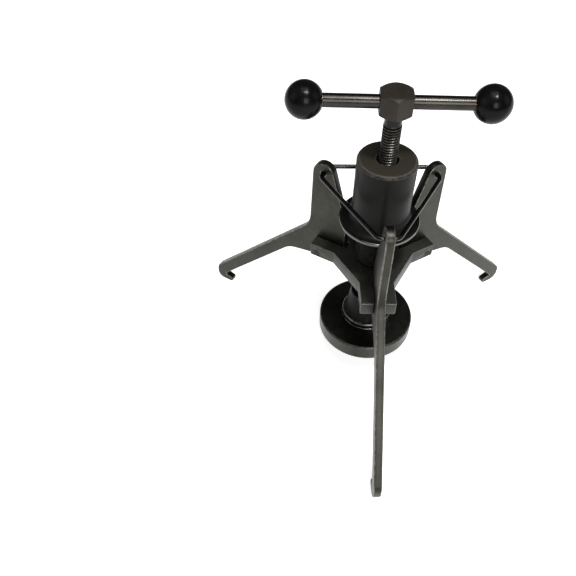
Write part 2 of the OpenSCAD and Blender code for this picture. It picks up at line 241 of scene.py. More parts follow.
def rounded(corners, steps=6, support=0.0):
    """Points (x, y, edge) of a closed outline whose corners (x, y, radius) are rounded.

    edge is 1 on the rounding of a small corner, where the finish wears. With support, a point is
    added that far outside each rounding, so that flat faces stay flat in shading.
    """
    points = []
    count = len(corners)
    for i, (x, y, radius) in enumerate(corners):
        corner = Vector((x, y))
        before = Vector(corners[i - 1][:2])
        after = Vector(corners[(i + 1) % count][:2])
        if radius <= 0:
            points.append((x, y, 0))
            continue
        arc = corner_arc(before, corner, after, radius, steps)
        edge = 1 if radius <= 3 else 0
        if support:
            points.append((*(arc[0] + (before - corner).normalized() * support), 0))
        points.extend((p.x, p.y, edge) for p in arc)
        if support:
            points.append((*(arc[-1] + (after - corner).normalized() * support), 0))
    return points


# ---------------------------------------------------------------- meshes


def new_object(name, mesh):
    """Links a new object with that mesh to the scene."""
    obj = bpy.data.objects.new(name, mesh)
    bpy.context.scene.collection.objects.link(obj)
    return obj


def finish_mesh(mesh, sharp=SHARP_ANGLE, merge=1e-7):
    """Merges doubles, turns the faces outwards and sets smooth shading with sharp edges."""
    bm = bmesh.new()
    bm.from_mesh(mesh)
    bmesh.ops.remove_doubles(bm, verts=bm.verts, dist=merge)
    bmesh.ops.dissolve_degenerate(bm, edges=bm.edges, dist=merge)
    bmesh.ops.recalc_face_normals(bm, faces=bm.faces)
    bm.to_mesh(mesh)
    bm.free()
    mesh.shade_smooth()
    mesh.set_sharp_from_angle(angle=sharp)
    return mesh


def turned_mesh(name, outline, facets=None):
    """Closed mesh of an outline of (radius, height, edge) millimetres turned about Z."""
    facets = facets or bpy.context.scene.press_sizes.facets
    bm = bmesh.new()
    worn = bm.faces.layers.float.new("worn")
    turns = [2 * math.pi * i / facets for i in range(facets)]
    rings = []
    for radius, height, _ in outline:
        if radius < 1e-6:
            rings.append([bm.verts.new((0, 0, height * MM))])
            continue
        circle = [(radius * MM * math.cos(t), radius * MM * math.sin(t)) for t in turns]
        rings.append([bm.verts.new((x, y, height * MM)) for x, y in circle])
    for i in range(len(rings)):
        j = (i + 1) % len(rings)
        here, there = rings[i], rings[j]
        if len(here) == 1 and len(there) == 1:
            continue
        edge = outline[i][2] and outline[j][2]
        for k in range(facets):
            n = (k + 1) % facets
            if len(here) == 1:
                loop = (here[0], there[n], there[k])
            elif len(there) == 1:
                loop = (here[k], here[n], there[0])
            else:
                loop = (here[k], here[n], there[n], there[k])
            bm.faces.new(loop)[worn] = edge
    mesh = bpy.data.meshes.new(name)
    bm.to_mesh(mesh)
    bm.free()
    return finish_mesh(mesh)


def turned(name, outline, matrix=None, facets=None):
    """A turned piece, put in place by an optional matrix."""
    mesh = turned_mesh(name, outline, facets)
    if matrix is not None:
        mesh.transform(matrix)
    return new_object(name, mesh)


def plate_mesh(name, outline, holes, thickness, edge):
    """Closed mesh of a flat plate with rounded edges, centred on z = 0, in millimetres.
    """
    curve = bpy.data.curves.new(name, "CURVE")
    curve.dimensions = "2D"
    curve.fill_mode = "BOTH"
    curve.extrude = (thickness / 2 - edge) * MM
    curve.bevel_depth = edge * MM
    curve.bevel_resolution = 2
    curve.offset = -edge * MM
    for loop in [outline, *holes]:
        spline = curve.splines.new("POLY")
        spline.points.add(len(loop) - 1)
        for point, place in zip(spline.points, loop):
            point.co = (place[0] * MM, place[1] * MM, 0, 1)
        spline.use_cyclic_u = True
    drawing = new_object(name + "_drawing", curve)
    bpy.context.view_layer.update()
    evaluated = drawing.evaluated_get(bpy.context.evaluated_depsgraph_get())
    mesh = bpy.data.meshes.new_from_object(evaluated)
    bpy.data.objects.remove(drawing)
    finish_mesh(mesh, sharp=math.radians(50), merge=2e-6)
    return mesh


def mark_plate(mesh):
    """Writes the plate's grain places and marks its rounded edges as worn."""
    grain = mesh.attributes.new("grain", "FLOAT_VECTOR", "POINT")
    for item, vertex in zip(grain.data, mesh.vertices):
        item.vector = vertex.co
    worn = mesh.attributes.new("worn", "FLOAT", "FACE")
    for item, face in zip(worn.data, mesh.polygons):
        item.value = 1.0 if 0.15 < abs(face.normal.z) < 0.985 else 0.0
        face.use_smooth = abs(face.normal.z) <= 0.985
    return mesh


def circle_points(x, y, radius, count=40):
    """Points of a circle, in millimetres."""
    turns = [2 * math.pi * i / count for i in range(count)]
    return [(x + radius * math.cos(t), y + radius * math.sin(t)) for t in turns]


def cut(obj, cutters):
    """Takes the cutters away from a piece and removes them."""
    for cutter in cutters:
        modifier = obj.modifiers.new("cut", "BOOLEAN")
        modifier.operation = "DIFFERENCE"
        modifier.solver = "EXACT"
        modifier.object = cutter
    bpy.context.view_layer.update()
    evaluated = obj.evaluated_get(bpy.context.evaluated_depsgraph_get())
    mesh = bpy.data.meshes.new_from_object(evaluated)
    obj.modifiers.clear()
    obj.data = mesh
    for cutter in cutters:
        bpy.data.objects.remove(cutter)
    return obj


def tube_mesh(name, route, normals, radius, sides=20):
    """Closed tube along a level route. normals are the level directions square to the route."""
    bm = bmesh.new()
    rings = []
    for place, normal in zip(route, normals):
        ring = []
        for k in range(sides):
            t = 2 * math.pi * k / sides
            offset = normal * math.cos(t) + Vector((0, 0, 1)) * math.sin(t)
            ring.append(bm.verts.new(place + offset * radius))
        rings.append(ring)
    for here, there in zip(rings, rings[1:]):
        for k in range(sides):
            n = (k + 1) % sides
            bm.faces.new((here[k], here[n], there[n], there[k]))
    bm.faces.new(rings[0])
    bm.faces.new(rings[-1])
    mesh = bpy.data.meshes.new(name)
    bm.to_mesh(mesh)
    bm.free()
    return finish_mesh(mesh)


# ---------------------------------------------------------------- node trees


def add(tree, kind, inputs=None, **settings):
    """Adds a node, sets its properties and its inputs, and links those given as sockets."""
    node = tree.nodes.new(kind)
    for key, value in settings.items():
        setattr(node, key, value)
    for key, value in (inputs or {}).items():
        if isinstance(value, bpy.types.NodeSocket):
            tree.links.new(value, node.inputs[key])
        else:
            node.inputs[key].default_value = value
    return node


def calc(tree, operation, *values, clamp=False):
    """Output of a math node on two or three numbers or sockets."""
    inputs = dict(enumerate(values))
    node = add(tree, "ShaderNodeMath", inputs, operation=operation, use_clamp=clamp)
    return node.outputs[0]


def remap(tree, value, from_low, from_high, to_low, to_high):
    """Output of a clamped map range node."""
    inputs = {0: value, 1: from_low, 2: from_high, 3: to_low, 4: to_high}
    return add(tree, "ShaderNodeMapRange", inputs, clamp=True).outputs[0]


THREAD_INPUTS = [
    ("Crest Radius", "NodeSocketFloat"),
    ("Root Radius", "NodeSocketFloat"),
    ("End Radius", "NodeSocketFloat"),
    ("Bore Radius", "NodeSocketFloat"),
    ("Pitch", "NodeSocketFloat"),
    ("Bottom", "NodeSocketFloat"),
    ("Top", "NodeSocketFloat"),
    ("Turns", "NodeSocketInt"),
    ("Facets", "NodeSocketInt"),
    ("Hollow", "NodeSocketBool"),
    ("Material", "NodeSocketMaterial"),
]


def thread_tree():
    """Geometry nodes that wind one thread profile into a right-handed helix with run-outs.

    A grid is bent round the axis. Across it runs one turn, and along it the profile repeats once a
    pitch, so that the end of each turn meets the start of the next and merges with it.
    """
    tree = bpy.data.node_groups.new("Thread", "GeometryNodeTree")
    tree.is_modifier = True
    for name, kind in THREAD_INPUTS:
        tree.interface.new_socket(name=name, in_out="INPUT", socket_type=kind)
    tree.interface.new_socket(name="Geometry", in_out="OUTPUT", socket_type="NodeSocketGeometry")
    given = add(tree, "NodeGroupInput").outputs
    steps = 6
    columns = calc(tree, "ADD", given["Facets"], 1)
    rows = calc(tree, "ADD", calc(tree, "MULTIPLY", given["Turns"], steps), 1)
    inputs = {"Size X": 1.0, "Size Y": 1.0, "Vertices X": columns, "Vertices Y": rows}
    grid = add(tree, "GeometryNodeMeshGrid", inputs)
    spot = add(tree, "GeometryNodeInputPosition").outputs[0]
    place = add(tree, "ShaderNodeSeparateXYZ", {0: spot}).outputs
    across = calc(tree, "ADD", place["X"], 0.5)
    along = calc(tree, "MULTIPLY", calc(tree, "ADD", place["Y"], 0.5), given["Turns"])
    angle = calc(tree, "MULTIPLY", across, 2 * math.pi)

    # Share of the pitch, moved by half a step so that crest and root are flats between points
    share = calc(tree, "FRACT", calc(tree, "ADD", along, 0.5 / steps + 1e-5))
    ridge = calc(tree, "ABSOLUTE", calc(tree, "SUBTRACT", calc(tree, "MULTIPLY", share, 2), 1))
    ridge = remap(tree, ridge, 1 / steps, 1 - 1 / steps, 0, 1)
    raw = calc(tree, "MULTIPLY", calc(tree, "ADD", calc(tree, "ADD", along, across), -1), given["Pitch"])
    raw = calc(tree, "ADD", raw, given["Bottom"])
    height = calc(tree, "MINIMUM", calc(tree, "MAXIMUM", raw, given["Bottom"]), given["Top"])
    runout = calc(tree, "MULTIPLY", given["Pitch"], 0.6)
    above = calc(tree, "DIVIDE", calc(tree, "SUBTRACT", raw, given["Bottom"]), runout, clamp=True)
    below = calc(tree, "DIVIDE", calc(tree, "SUBTRACT", given["Top"], raw), runout, clamp=True)
    full = calc(tree, "MULTIPLY", above, below)
    thread = remap(tree, ridge, 0, 1, given["Root Radius"], given["Crest Radius"])
    radius = calc(tree, "ADD", given["End Radius"],
                  calc(tree, "MULTIPLY", calc(tree, "SUBTRACT", thread, given["End Radius"]), full))

    # The first and the last row close the ends, down to the axis or to the bore
    last = calc(tree, "SUBTRACT", given["Turns"], 1e-3)
    is_end = calc(tree, "ADD", calc(tree, "LESS_THAN", along, 1e-3),
                  calc(tree, "GREATER_THAN", along, last), clamp=True)
    inner = calc(tree, "SUBTRACT", given["Bore Radius"], radius)
    radius = calc(tree, "ADD", radius, calc(tree, "MULTIPLY", is_end, inner))
    x = calc(tree, "MULTIPLY", radius, calc(tree, "COSINE", angle))
    y = calc(tree, "MULTIPLY", radius, calc(tree, "SINE", angle))
    bent = add(tree, "ShaderNodeCombineXYZ", {"X": x, "Y": y, "Z": height}).outputs[0]
    crest = remap(tree, ridge, 0.85, 1, 0, 1)
    named = add(tree, "GeometryNodeStoreNamedAttribute",
                {"Geometry": grid.outputs["Mesh"], "Name": "worn", "Value": crest},
                data_type="FLOAT", domain="POINT")
    moved = add(tree, "GeometryNodeSetPosition", {"Geometry": named.outputs[0], "Position": bent})

    # The bore's own wall, for a piece that is hollow
    depth = calc(tree, "SUBTRACT", given["Top"], given["Bottom"])
    wall_inputs = {"Vertices": given["Facets"], "Radius": given["Bore Radius"], "Depth": depth}
    wall = add(tree, "GeometryNodeMeshCylinder", wall_inputs, fill_type="NONE")
    mid = calc(tree, "ADD", given["Bottom"], calc(tree, "MULTIPLY", depth, 0.5))
    lift = add(tree, "ShaderNodeCombineXYZ", {"Z": mid}).outputs[0]
    wall = add(tree, "GeometryNodeTransform", {"Geometry": wall.outputs["Mesh"], "Translation": lift})
    wall = add(tree, "GeometryNodeSwitch",
               {"Switch": given["Hollow"], "True": wall.outputs[0]}, input_type="GEOMETRY")
    both = add(tree, "GeometryNodeJoinGeometry", {"Geometry": moved.outputs[0]})
    tree.links.new(wall.outputs[0], both.inputs["Geometry"])
    merged = add(tree, "GeometryNodeMergeByDistance", {"Geometry": both.outputs[0], "Distance": 4e-6})
    real = add(tree, "GeometryNodeRealizeInstances", {"Geometry": merged.outputs[0]})
    done = add(tree, "GeometryNodeSetMaterial",
               {"Geometry": real.outputs[0], "Material": given["Material"]})
    add(tree, "NodeGroupOutput", {"Geometry": done.outputs[0]})
    return tree


def threaded(name, values):
    """A piece made by the thread tree, with its result kept as a plain mesh."""
    tree = bpy.data.node_groups.get("Thread") or thread_tree()
    obj = new_object(name, bpy.data.meshes.new(name))
    modifier = obj.modifiers.new("thread", "NODES")
    modifier.node_group = tree
    for item in tree.interface.items_tree:
        if item.in_out == "INPUT" and item.name in values:
            modifier[item.identifier] = values[item.name]
    bpy.context.view_layer.update()
    evaluated = obj.evaluated_get(bpy.context.evaluated_depsgraph_get())
    mesh = bpy.data.meshes.new_from_object(evaluated)
    obj.modifiers.clear()
    obj.data = finish_mesh(mesh, sharp=math.radians(28), merge=4e-6)
    return obj


# ---------------------------------------------------------------- materials


def fresh_material(name):
    """A new material's tree, its shader and its object coordinates."""
    material = bpy.data.materials.new(name + "_finish")
    material.use_nodes = True
    tree = material.node_tree
    shader = tree.nodes["Principled BSDF"]
    place = add(tree, "ShaderNodeTexCoord").outputs["Object"]
    return material, tree, shader, place


def noise(tree, place, scale, detail=3.0, roughness=0.55):
    """Output of a noise texture, from 0 to 1."""
    inputs = {"Vector": place, "Scale": scale, "Detail": detail, "Roughness": roughness}
    return add(tree, "ShaderNodeTexNoise", inputs).outputs["Fac"]


def stretched(tree, place, scale, turn=(0.0, 0.0, 0.0)):
    """Coordinates scaled unevenly, which draws a pattern out along an axis."""
    inputs = {"Vector": place, "Rotation": turn, "Scale": scale}
    return add(tree, "ShaderNodeMapping", inputs).outputs[0]


def mix_colour(tree, share, first, second):
    """Output of a colour mix."""
    node = add(tree, "ShaderNodeMix", data_type="RGBA")
    for index, value in ((0, share), (6, first), (7, second)):
        if isinstance(value, bpy.types.NodeSocket):
            tree.links.new(value, node.inputs[index])
        elif index:
            node.inputs[index].default_value = (*value, 1.0)
        else:
            node.inputs[index].default_value = value
    return node.outputs[2]


def turning_place(tree, place, rings):
    """Coordinates of a turned piece: radius, height and a little of the angle."""
    part = add(tree, "ShaderNodeSeparateXYZ", {0: place}).outputs
    squares = [calc(tree, "MULTIPLY", part[axis], part[axis]) for axis in "XY"]
    radius = calc(tree, "SQRT", calc(tree, "ADD", *squares))
    angle = calc(tree, "ARCTAN2", part["Y"], part["X"])
    inputs = {
        "X": calc(tree, "MULTIPLY", radius, rings),
        "Y": calc(tree, "MULTIPLY", angle, 0.35),
        "Z": calc(tree, "MULTIPLY", part["Z"], rings),
    }
    return add(tree, "ShaderNodeCombineXYZ", inputs).outputs[0]


def scratches(tree, place, amount):
    """Mask of thin straight scratches that run in a few directions."""
    total = None
    for turn, spacing in ((0.4, 900.0), (1.3, 1100.0), (2.5, 800.0)):
        spread = stretched(tree, place, (spacing, 26.0, 26.0), (0.35 * turn, 0.2, turn))
        line = remap(tree, noise(tree, spread, 1.0, 2.0), 0.70, 0.76, 0, 1)
        spread = noise(tree, place, 38.0 + 9.0 * turn, 2.0)
        line = calc(tree, "MULTIPLY", line, remap(tree, spread, 0.56, 0.70, 0, 1))
        total = line if total is None else calc(tree, "MAXIMUM", total, line)
    return calc(tree, "MULTIPLY", total, amount)


def steel(name, base, rough, metal=1.0, shine=0.5, wear=0.5, marks=0.35, grain="cast",
          bump=0.25, attribute=None, crown=None):
    """Steel with colour variation, fine grain or turning marks, scratches and worn edges.

    wear and marks are how far the bare steel shows on edges and in scratches, attribute is a point
    attribute that stands in for the object's coordinates, and crown is the height above which the
    steel has another colour, with that colour; that colour is painted light on a lit top face.
    """
    finishes = bpy.context.scene.press_finishes
    material, tree, shader, place = fresh_material(name)
    if attribute:
        place = add(tree, "ShaderNodeAttribute", attribute_name=attribute).outputs["Vector"]
    broad = noise(tree, place, 22.0, 4.0, 0.6)
    mottle = noise(tree, place, 160.0, 3.0, 0.6)
    if grain == "turned":
        fine = noise(tree, turning_place(tree, place, 2600.0), 1.0, 2.0)
    elif grain == "ground":
        fine = noise(tree, stretched(tree, place, (220.0, 4200.0, 4200.0), (0, 0, 0.82)), 1.0, 3.0)
    else:
        fine = noise(tree, place, 2400.0, 3.0, 0.65)
    dark = tuple(0.68 * c for c in base)
    light = tuple(min(1.0, 1.34 * c) for c in base)
    shade = calc(tree, "ADD", calc(tree, "MULTIPLY", broad, 0.65), calc(tree, "MULTIPLY", mottle, 0.35))
    tint = mix_colour(tree, remap(tree, shade, 0.34, 0.66, 0, 1), dark, light)
    # Painted light: above the crown height the colour turns lighter, for the light that falls on a top face
    if crown:
        level, painted_top_tone = crown
        height = add(tree, "ShaderNodeSeparateXYZ", {0: place}).outputs["Z"]
        tint = mix_colour(tree, remap(tree, height, level - 0.0008, level - 0.0003, 0, 1), tint, painted_top_tone)
    worn = add(tree, "ShaderNodeAttribute", attribute_name="worn").outputs["Fac"]
    patchy = remap(tree, noise(tree, place, 300.0, 4.0, 0.7), 0.36, 0.66, 0.15, 1.0)
    worn = calc(tree, "MULTIPLY", calc(tree, "MULTIPLY", worn, patchy), wear)
    scored = scratches(tree, place, marks)
    bare = calc(tree, "MAXIMUM", worn, scored)
    tree.links.new(mix_colour(tree, bare, tint, finishes.bare_steel), shader.inputs["Base Color"])
    level = remap(tree, calc(tree, "ADD", calc(tree, "MULTIPLY", fine, 0.5),
                             calc(tree, "MULTIPLY", mottle, 0.5)), 0.3, 0.7, rough - 0.07, rough + 0.09)
    level = calc(tree, "SUBTRACT", level, calc(tree, "MULTIPLY", bare, 0.10), clamp=True)
    tree.links.new(level, shader.inputs["Roughness"])
    relief = calc(tree, "SUBTRACT", fine, calc(tree, "MULTIPLY", scored, 0.8))
    inputs = {"Strength": bump, "Distance": 0.00006, "Height": relief}
    tree.links.new(add(tree, "ShaderNodeBump", inputs).outputs[0], shader.inputs["Normal"])
    shader.inputs["Metallic"].default_value = metal
    shader.inputs["Specular IOR Level"].default_value = shine
    return material


def knob_plastic():
    """Glossy black moulded plastic with faint haze and hairline scuffs."""
    finishes = bpy.context.scene.press_finishes
    material, tree, shader, place = fresh_material("knob_plastic")
    haze = noise(tree, place, 90.0, 4.0, 0.6)
    base = tuple(finishes.knob_black)
    pale = tuple(min(1.0, 1.6 * c + 0.001) for c in base)
    tint = mix_colour(tree, remap(tree, haze, 0.4, 0.7, 0, 1), base, pale)
    scored = scratches(tree, place, 0.25)
    tree.links.new(mix_colour(tree, scored, tint, (0.05, 0.05, 0.05)), shader.inputs["Base Color"])
    level = calc(tree, "ADD", remap(tree, haze, 0.3, 0.7, 0.16, 0.26), calc(tree, "MULTIPLY", scored, 0.3))
    tree.links.new(level, shader.inputs["Roughness"])
    ripple = noise(tree, place, 45.0, 2.0)
    inputs = {"Strength": 0.05, "Distance": 0.0004, "Height": ripple}
    tree.links.new(add(tree, "ShaderNodeBump", inputs).outputs[0], shader.inputs["Normal"])
    shader.inputs["Specular IOR Level"].default_value = 0.08
    return material


def brass_metal():
    """Turned brass with a slight tarnish."""
    finishes = bpy.context.scene.press_finishes
    material, tree, shader, place = fresh_material("turned_brass")
    tarnish = noise(tree, place, 240.0, 4.0, 0.6)
    base = tuple(finishes.brass)
    tint = mix_colour(tree, remap(tree, tarnish, 0.4, 0.7, 0, 1), base, tuple(0.6 * c for c in base))
    tree.links.new(tint, shader.inputs["Base Color"])
    tree.links.new(remap(tree, tarnish, 0.3, 0.7, 0.24, 0.4), shader.inputs["Roughness"])
    fine = noise(tree, place, 3000.0, 2.0)
    inputs = {"Strength": 0.1, "Distance": 0.00005, "Height": fine}
    tree.links.new(add(tree, "ShaderNodeBump", inputs).outputs[0], shader.inputs["Normal"])
    shader.inputs["Metallic"].default_value = 1.0
    return material


def finish_named(name):
    """The material of that name, made the first time that it is asked for."""
    found = bpy.data.materials.get(name + "_finish")
    if found:
        return found
    look = bpy.context.scene.press_finishes
    makers = {
        "plate_steel": lambda: steel("plate_steel", look.plate_steel, 0.42, 0.2, 0.3, wear=0.30),
        "lever_steel": lambda: steel("lever_steel", look.lever_steel, 0.40, wear=0.42, marks=0.14,
                                     # The collar's top face takes a lighter colour here: painted light
                                     grain="ground", attribute="grain"),
        "collar_steel": lambda: steel("collar_steel", look.collar_steel, 0.36, 0.0, 0.07, wear=0.10,
                                      marks=0.3, grain="turned", bump=0.12,
                                      crown=(high("collar") * MM, look.collar_top_painted_light)),
        "pad_steel": lambda: steel("pad_steel", look.pad_steel, 0.38, wear=0.16, marks=0.22,
                                   grain="turned", bump=0.18),
        "screw_steel": lambda: steel("screw_steel", look.screw_steel, 0.30, 0.5, 0.15, wear=0.22,
                                     marks=0.04),
        "head_steel": lambda: steel("head_steel", look.head_steel, 0.40, 0.1, 0.12, wear=0.3, marks=0.08),
        "bar_steel": lambda: steel("bar_steel", look.bar_steel, 0.27, wear=0.4, marks=0.06, bump=0.07),
        "ring_steel": lambda: steel("ring_steel", look.ring_steel, 0.16, wear=0.2, marks=0.15,
                                    grain="turned", bump=0.10),
        "wire_steel": lambda: steel("wire_steel", look.wire_steel, 0.26, wear=0.0, marks=0.1),
        "knob_plastic": knob_plastic,
        "turned_brass": brass_metal,
    }
    return makers[name]()


def dress(obj, body, material, slot, *nodes):
    """Gives a piece its finish, sets it riding on its body and hides the nodes it stands for."""
    obj.data.materials.clear()
    obj.data.materials.append(finish_named(material))
    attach(obj, body)
    if nodes:
        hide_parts(*nodes)
    return obj


# ---------------------------------------------------------------- operators


class PRESS_OT_pad(Operator):
    """Make the round press pad and the two polished rings above it"""

    bl_idname = "press.pad"
    bl_label = "Pad and rings"

    def execute(self, context):
        outer, top = reach("press_pad"), high("press_pad")
        recess, floor = 19.2, 3.5
        outline = rounded([
            (0, 0, 0), (outer, 0, 1.2), (outer, top, 2.2), (recess, top, 0.4),
            (recess, floor, 0.3), (0, floor, 0),
        ], support=0.2)
        dress(turned("pad", outline), "pad", "pad_steel", "blackened_steel", "press_pad")

        outer, bottom, top = reach("retaining_ring"), low("retaining_ring"), high("retaining_ring")
        bore, seat = 14.6, high("press_pad")
        outline = rounded([
            (bore, bottom, 0.2), (recess, bottom, 0.3), (recess, seat, 0), (outer, seat, 0.3),
            (outer, top, 0.9), (bore, top, 0.4),
        ], support=0.1)
        ring = turned("pad_ring_lower", outline)
        dress(ring, "pad", "ring_steel", "polished_steel", "retaining_ring")

        outer, bottom, top = reach("dust_ring"), low("dust_ring"), high("dust_ring")
        bore = 14.0
        outline = rounded([
            (bore, bottom, 0.2), (outer, bottom, 0.6), (outer, top, 2.2), (bore, top, 0.2),
        ], steps=9, support=0.1)
        ring = turned("pad_ring_upper", outline)
        dress(ring, "screw", "ring_steel", "polished_steel", "dust_ring")
        return {"FINISHED"}


class PRESS_OT_nose(Operator):
    """Make the cone-shaped nose that joins the screw to the pad"""

    bl_idname = "press.nose"
    bl_label = "Nose"

    def execute(self, context):
        bottom, top, skirt = low("screw_nose"), high("screw_nose"), reach("screw_nose")
        ledge, foot = high("dust_ring"), high("foot_disc")
        tail, neck, shoulder = 8, 14, 18.6
        socket, socket_floor = 6, 30
        outline = rounded([
            (0, bottom, 0), (tail, bottom, 0.3), (tail, foot, 0), (neck, foot, 0.2),
            (neck, ledge, 0), (skirt, ledge, 0.8), (shoulder, top, 1.6), (socket, top, 0.3),
            (socket, socket_floor, 0), (0, socket_floor, 0),
        ], support=0.15)
        nose = turned("nose", outline)
        grub_height = middle("nose_grub_screw").z
        side = Matrix.Translation((0, 0, grub_height)) @ Matrix.Rotation(math.radians(90), 4, "Y")
        grub, hole_start, hole_end = 2.5, 4, 30
        hole = [(0, hole_start, 0), (grub, hole_start, 0), (grub, hole_end, 0), (0, hole_end, 0)]
        cut(nose, [turned("grub_hole", hole, side, facets=40)])
        dress(nose, "screw", "collar_steel", "blackened_steel", "screw_nose")
        return {"FINISHED"}


class PRESS_OT_screw(Operator):
    """Make the screw: its wound thread, its neck and its hexagon head"""

    bl_idname = "press.screw"
    bl_label = "Screw"

    def execute(self, context):
        sizes = context.scene.press_sizes
        crest = 8.0 * MM
        neck = 7.4
        bottom = high("screw_nose") * MM + 0.1 * MM
        turns = math.ceil((sizes.neck_bottom - bottom) / sizes.screw_pitch) + 2
        thread = threaded("screw_thread", {
            "Crest Radius": crest,
            "Root Radius": crest - sizes.thread_depth,
            "End Radius": neck * MM,
            "Bore Radius": 0.0,
            "Pitch": sizes.screw_pitch,
            "Bottom": bottom,
            "Top": sizes.neck_bottom,
            "Turns": turns,
            "Facets": 72,
            "Hollow": False,
        })
        dress(thread, "screw", "screw_steel", "screw_steel", "spindle")

        start = sizes.neck_bottom / MM
        head_height = 20.4
        shoulder = high("spindle") - head_height
        outline = rounded([
            (0, start, 0), (neck, start, 0), (neck, shoulder + 1, 0), (0, shoulder + 1, 0),
        ])
        dress(turned("screw_neck", outline), "screw", "screw_steel", "screw_steel")
        tip, spigot_radius = low("spindle"), 5.95
        spigot = rounded([
            (0, tip, 0), (spigot_radius, tip, 0.6), (spigot_radius, bottom / MM, 0),
            (0, bottom / MM, 0),
        ])
        dress(turned("screw_spigot", spigot), "screw", "screw_steel", "screw_steel")

        head = new_object("screw_head", self.hexagon(sizes.hexagon / MM, shoulder, high("spindle")))
        bar = bar_matrix()
        bore, mouth, past = 5.85, 0.35, 4
        face = sizes.hexagon / MM / 2
        outline = [
            (0, -face - past, 0), (bore + mouth + past, -face - past, 0), (bore, -face + mouth, 0),
            (bore, face - mouth, 0), (bore + mouth + past, face + past, 0), (0, face + past, 0),
        ]
        along = Matrix.Translation((0, 0, bar.translation.z)) @ bar.to_3x3().to_4x4()
        cut(head, [turned("bar_hole", outline, along, facets=72)])
        finish_mesh(head.data, sharp=math.radians(40))
        dress(head, "screw", "head_steel", "screw_steel")
        return {"FINISHED"}

    def hexagon(self, across, bottom, top):
        """Hexagon with chamfered corners, as rings whose radius follows the flats."""
        facets, power = 144, 150
        chamfer = 2.2
        corner = across / 2 / math.cos(math.radians(30))
        slope = (corner + 0.4 - (across / 2 - 1.5)) / chamfer
        twist = math.radians(-1.8)
        levels = [0, 0.0001] + [chamfer * 1.6 * i / 16 for i in range(1, 17)]
        heights = [bottom + d for d in levels] + [top - d for d in reversed(levels)]
        bm = bmesh.new()
        rings = []
        for index, height in enumerate(heights):
            depth = min(height - bottom, top - height)
            cone = across / 2 - 1.5 + slope * depth
            if index in (0, len(heights) - 1):
                rings.append([bm.verts.new((0, 0, height * MM))])
                continue
            ring = []
            for k in range(facets):
                t = 2 * math.pi * k / facets
                walls = [max(0.0, math.cos(t - math.radians(60 * side))) for side in range(6)]
                flat = across / 2 / sum(w ** power for w in walls) ** (1 / power)
                near = min(flat, cone)
                soft = near - 0.12 * math.exp(-((flat - cone) / 0.25) ** 2)
                place = (soft * math.cos(t + twist), soft * math.sin(t + twist), height)
                ring.append(bm.verts.new([c * MM for c in place]))
            rings.append(ring)
        for here, there in zip(rings, rings[1:]):
            for k in range(facets):
                n = (k + 1) % facets
                if len(here) == 1:
                    bm.faces.new((here[0], there[n], there[k]))
                elif len(there) == 1:
                    bm.faces.new((here[k], here[n], there[0]))
                else:
                    bm.faces.new((here[k], here[n], there[n], there[k]))
        mesh = bpy.data.meshes.new("screw_head")
        bm.to_mesh(mesh)
        bm.free()
        return finish_mesh(mesh, sharp=math.radians(40))


class PRESS_OT_t_bar(Operator):
    """Make the T-bar and its two ball knobs"""

    bl_idname = "press.t_bar"
    bl_label = "T-bar and knobs"

    def execute(self, context):
        bar = bar_matrix()
        centre = bar.inverted() @ middle("ball_knob_right")
        spacing = centre.z / MM
        knob = (high("ball_knob_right") - low("ball_knob_right")) / 2
        flat = knob - 1.6
        end = spacing - flat
        radius, stub, stub_length = 5.8, 4.0, 14.8
        tip = end + stub_length
        outline = rounded([
            (0, -tip, 0), (stub, -tip, 0.5), (stub, -end, 0.2), (radius, -end, 0.5),
            (radius, end, 0.5), (stub, end, 0.2), (stub, tip, 0.5), (0, tip, 0),
        ], steps=4, support=0.2)
        piece = turned("handle_bar", outline, bar, facets=72)
        dress(piece, "t_bar", "bar_steel", "bar_steel", "tommy_bar")
        for name, side in (("left", -1), ("right", 1)):
            outward = Matrix.Identity(4) if side > 0 else Matrix.Rotation(math.pi, 4, "Y")
            shift = Matrix.Translation((0, 0, side * spacing * MM))
            piece = turned(f"knob_{name}", self.ball(knob, flat), bar @ shift @ outward)
            dress(piece, "t_bar", "knob_plastic", "knob_plastic", f"ball_knob_{name}")
        return {"FINISHED"}

    def ball(self, radius, flat):
        """Outline of a ball with a flat, a bore for its insert and a fine moulding seam."""
        bore, depth, seam, width = 5.6, 17.0, 0.07, 1.1
        rim = math.degrees(math.acos(-flat / radius))
        points = [(0, -flat + depth, 0), (bore, -flat + depth, 0), (bore, -flat, 0)]
        points += [(math.sqrt(radius ** 2 - flat ** 2) - 0.4, -flat, 0)]
        steps = 60
        for i in range(steps + 1):
            lean = math.radians(rim * (1 - i / steps))
            points.append(((radius - seam) * math.sin(lean), (radius - seam) * math.cos(lean), 0))
        ridge = [math.radians(90 + width * s) for s in (1, 0.4, -0.4, -1)]
        lifts = (0, seam, seam, 0)
        before = [p for p in points[4:] if p[1] < (radius - seam) * math.cos(ridge[0])]
        after = [p for p in points[4:] if p[1] > (radius - seam) * math.cos(ridge[3])]
        raised = []
        for lean, lift in zip(ridge, lifts):
            size = radius - seam + lift
            raised.append((size * math.sin(lean), size * math.cos(lean), 0))
        after[-1] = (0, radius - seam, 0)
        return points[:4] + before + raised + after


